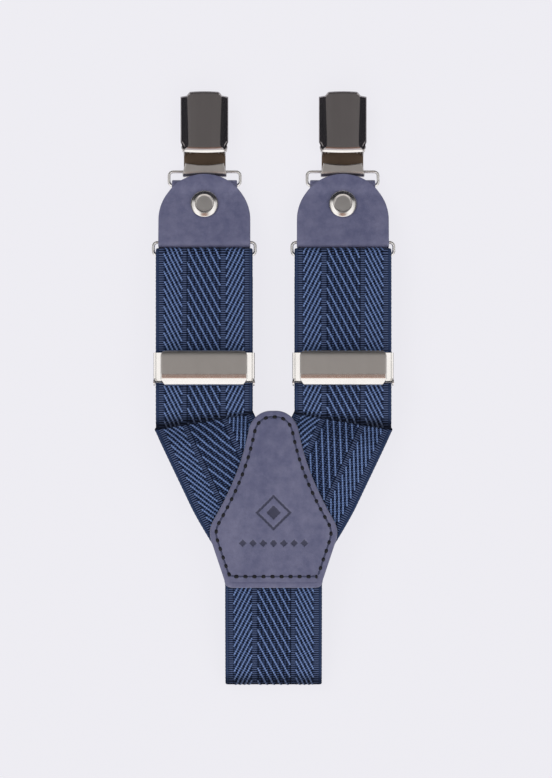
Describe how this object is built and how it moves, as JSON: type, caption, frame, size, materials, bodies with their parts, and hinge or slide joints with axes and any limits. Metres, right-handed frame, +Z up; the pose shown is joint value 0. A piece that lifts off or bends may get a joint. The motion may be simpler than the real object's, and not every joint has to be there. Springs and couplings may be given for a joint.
{
  "type": "suspenders",
  "caption": "Clip-on Y-back elastic suspenders with leather tabs and yoke patch, folded flat, with swinging metal clips and sliding length adjusters.",
  "frame": {"origin": "bottom centre of the object's box: on the surface that the folded suspenders lie on, midway across and along", "axes": "+Z up, out of the front face; +Y towards the two front clips; +X across the straps, to the viewer's right"},
  "size_m": [0.088, 0.2146, 0.0146],
  "materials": {
    "navy_webbing": "ribbed herringbone elastic weave, matt with raised lighter blue yarns",
    "navy_leather": "smooth dyed leather, satin, fine grain",
    "bright_nickel": "polished nickel plate",
    "dark_nickel": "polished dark nickel plate",
    "grip_rubber": "ribbed black grip pad, matt"
  },
  "bodies": {
    "webbing": {"left_front_strap": "navy_webbing", "left_shoulder_strap": "navy_webbing", "left_folded_strap": "navy_webbing", "right_front_strap": "navy_webbing", "right_shoulder_strap": "navy_webbing", "right_folded_strap": "navy_webbing", "rear_strap": "navy_webbing", "front_patch": "navy_leather", "back_patch": "navy_leather"},
    "left_strap_end": {"left_strap_loop": "navy_webbing"},
    "left_slider": {"left_slider_frame": "bright_nickel", "left_slider_pin": "bright_nickel"},
    "left_slider_lid": {"left_slider_cover": "bright_nickel"},
    "left_link": {"left_strap_ring": "bright_nickel"},
    "left_tab": {"left_leather_tab": "navy_leather", "left_rivet_cap": "bright_nickel", "left_rivet_post": "bright_nickel"},
    "left_clip_link": {"left_clip_ring": "bright_nickel"},
    "left_clip": {"left_clip_base": "bright_nickel", "left_base_pad": "grip_rubber", "left_clip_pin": "bright_nickel", "left_clip_spring": "bright_nickel"},
    "left_clip_lever": {"left_clip_cover": "dark_nickel"},
    "left_jaw": {"left_clip_jaw": "bright_nickel", "left_jaw_pad": "grip_rubber"},
    "right_strap_end": {"right_strap_loop": "navy_webbing"},
    "right_slider": {"right_slider_frame": "bright_nickel", "right_slider_pin": "bright_nickel"},
    "right_slider_lid": {"right_slider_cover": "bright_nickel"},
    "right_link": {"right_strap_ring": "bright_nickel"},
    "right_tab": {"right_leather_tab": "navy_leather", "right_rivet_cap": "bright_nickel", "right_rivet_post": "bright_nickel"},
    "right_clip_link": {"right_clip_ring": "bright_nickel"},
    "right_clip": {"right_clip_base": "bright_nickel", "right_base_pad": "grip_rubber", "right_clip_pin": "bright_nickel", "right_clip_spring": "bright_nickel"},
    "right_clip_lever": {"right_clip_cover": "dark_nickel"},
    "right_jaw": {"right_clip_jaw": "bright_nickel", "right_jaw_pad": "grip_rubber"},
    "rear_link": {"rear_strap_ring": "bright_nickel"},
    "rear_tab": {"rear_leather_tab": "navy_leather", "rear_rivet_cap": "bright_nickel", "rear_rivet_post": "bright_nickel"},
    "rear_clip_link": {"rear_clip_ring": "bright_nickel"},
    "rear_clip": {"rear_clip_base": "bright_nickel", "rear_base_pad": "grip_rubber", "rear_clip_pin": "bright_nickel", "rear_clip_spring": "bright_nickel"},
    "rear_clip_lever": {"rear_clip_cover": "dark_nickel"},
    "rear_jaw": {"rear_clip_jaw": "bright_nickel", "rear_jaw_pad": "grip_rubber"}
  },
  "joints": [
    {"name": "left_slider_travel", "type": "slide", "parent": "webbing", "child": "left_slider", "axis": [0, 1, 0], "range_m": [-0.008, 0.022]},
    {"name": "left_strap_length", "type": "slide", "parent": "webbing", "child": "left_strap_end", "axis": [0, 1, 0], "range_m": [-0.004, 0.011]},
    {"name": "left_slider_lid_flip", "type": "hinge", "parent": "left_slider", "child": "left_slider_lid", "pos_m": [-0.025, 0.0023, 0.01315], "axis": [1, 0, 0], "range_deg": [0, 70]},
    {"name": "left_strap_ring_swing", "type": "hinge", "parent": "left_strap_end", "child": "left_link", "pos_m": [-0.025, 0.04817, 0.0089], "axis": [1, 0, 0], "range_deg": [-45, 60]},
    {"name": "left_tab_swing", "type": "hinge", "parent": "left_link", "child": "left_tab", "pos_m": [-0.025, 0.05276, 0.00786], "axis": [1, 0, 0], "range_deg": [-45, 45]},
    {"name": "left_clip_ring_swing", "type": "hinge", "parent": "left_tab", "child": "left_clip_link", "pos_m": [-0.025, 0.07353, 0.00315], "axis": [1, 0, 0], "range_deg": [-60, 4]},
    {"name": "left_clip_swing", "type": "hinge", "parent": "left_clip_link", "child": "left_clip", "pos_m": [-0.025, 0.0786, 0.002], "axis": [1, 0, 0], "range_deg": [-60, 35]},
    {"name": "left_cover_flip", "type": "hinge", "parent": "left_clip", "child": "left_clip_lever", "pos_m": [-0.025, 0.0868, 0.0037], "axis": [1, 0, 0], "range_deg": [0, 90]},
    {"name": "left_jaw_opening", "type": "hinge", "parent": "left_clip", "child": "left_jaw", "pos_m": [-0.025, 0.0868, 0.0037], "axis": [1, 0, 0], "range_deg": [0, 20]},
    {"name": "right_slider_travel", "type": "slide", "parent": "webbing", "child": "right_slider", "axis": [0, 1, 0], "range_m": [-0.008, 0.022]},
    {"name": "right_strap_length", "type": "slide", "parent": "webbing", "child": "right_strap_end", "axis": [0, 1, 0], "range_m": [-0.004, 0.011]},
    {"name": "right_slider_lid_flip", "type": "hinge", "parent": "right_slider", "child": "right_slider_lid", "pos_m": [0.025, 0.0023, 0.01315], "axis": [1, 0, 0], "range_deg": [0, 70]},
    {"name": "right_strap_ring_swing", "type": "hinge", "parent": "right_strap_end", "child": "right_link", "pos_m": [0.025, 0.04817, 0.0089], "axis": [1, 0, 0], "range_deg": [-45, 60]},
    {"name": "right_tab_swing", "type": "hinge", "parent": "right_link", "child": "right_tab", "pos_m": [0.025, 0.05276, 0.00786], "axis": [1, 0, 0], "range_deg": [-45, 45]},
    {"name": "right_clip_ring_swing", "type": "hinge", "parent": "right_tab", "child": "right_clip_link", "pos_m": [0.025, 0.07353, 0.00315], "axis": [1, 0, 0], "range_deg": [-60, 4]},
    {"name": "right_clip_swing", "type": "hinge", "parent": "right_clip_link", "child": "right_clip", "pos_m": [0.025, 0.0786, 0.002], "axis": [1, 0, 0], "range_deg": [-60, 35]},
    {"name": "right_cover_flip", "type": "hinge", "parent": "right_clip", "child": "right_clip_lever", "pos_m": [0.025, 0.0868, 0.0037], "axis": [1, 0, 0], "range_deg": [0, 90]},
    {"name": "right_jaw_opening", "type": "hinge", "parent": "right_clip", "child": "right_jaw", "pos_m": [0.025, 0.0868, 0.0037], "axis": [1, 0, 0], "range_deg": [0, 20]},
    {"name": "rear_strap_ring_swing", "type": "hinge", "parent": "webbing", "child": "rear_link", "pos_m": [0, -0.0717, 0.0027], "axis": [-1, 0, 0], "range_deg": [0, 60]},
    {"name": "rear_tab_swing", "type": "hinge", "parent": "rear_link", "child": "rear_tab", "pos_m": [0, -0.06703, 0.00323], "axis": [-1, 0, 0], "range_deg": [0, 45]},
    {"name": "rear_clip_ring_swing", "type": "hinge", "parent": "rear_tab", "child": "rear_clip_link", "pos_m": [0, -0.04587, 0.00562], "axis": [-1, 0, 0], "range_deg": [0, 4]},
    {"name": "rear_clip_swing", "type": "hinge", "parent": "rear_clip_link", "child": "rear_clip", "pos_m": [0, -0.0407, 0.0062], "axis": [-1, 0, 0], "range_deg": [0, 35]},
    {"name": "rear_cover_flip", "type": "hinge", "parent": "rear_clip", "child": "rear_clip_lever", "pos_m": [0, -0.0325, 0.0045], "axis": [-1, 0, 0], "range_deg": [0, 90]},
    {"name": "rear_jaw_opening", "type": "hinge", "parent": "rear_clip", "child": "rear_jaw", "pos_m": [0, -0.0325, 0.0045], "axis": [-1, 0, 0], "range_deg": [0, 20]}
  ],
  "couplings": [
    {"joint": "left_strap_length", "follows": "left_slider_travel", "ratio": 0.5},
    {"joint": "left_jaw_opening", "follows": "left_cover_flip", "ratio": 0.2222},
    {"joint": "right_strap_length", "follows": "right_slider_travel", "ratio": 0.5},
    {"joint": "right_jaw_opening", "follows": "right_cover_flip", "ratio": 0.2222},
    {"joint": "rear_jaw_opening", "follows": "rear_cover_flip", "ratio": 0.2222}
  ]
}
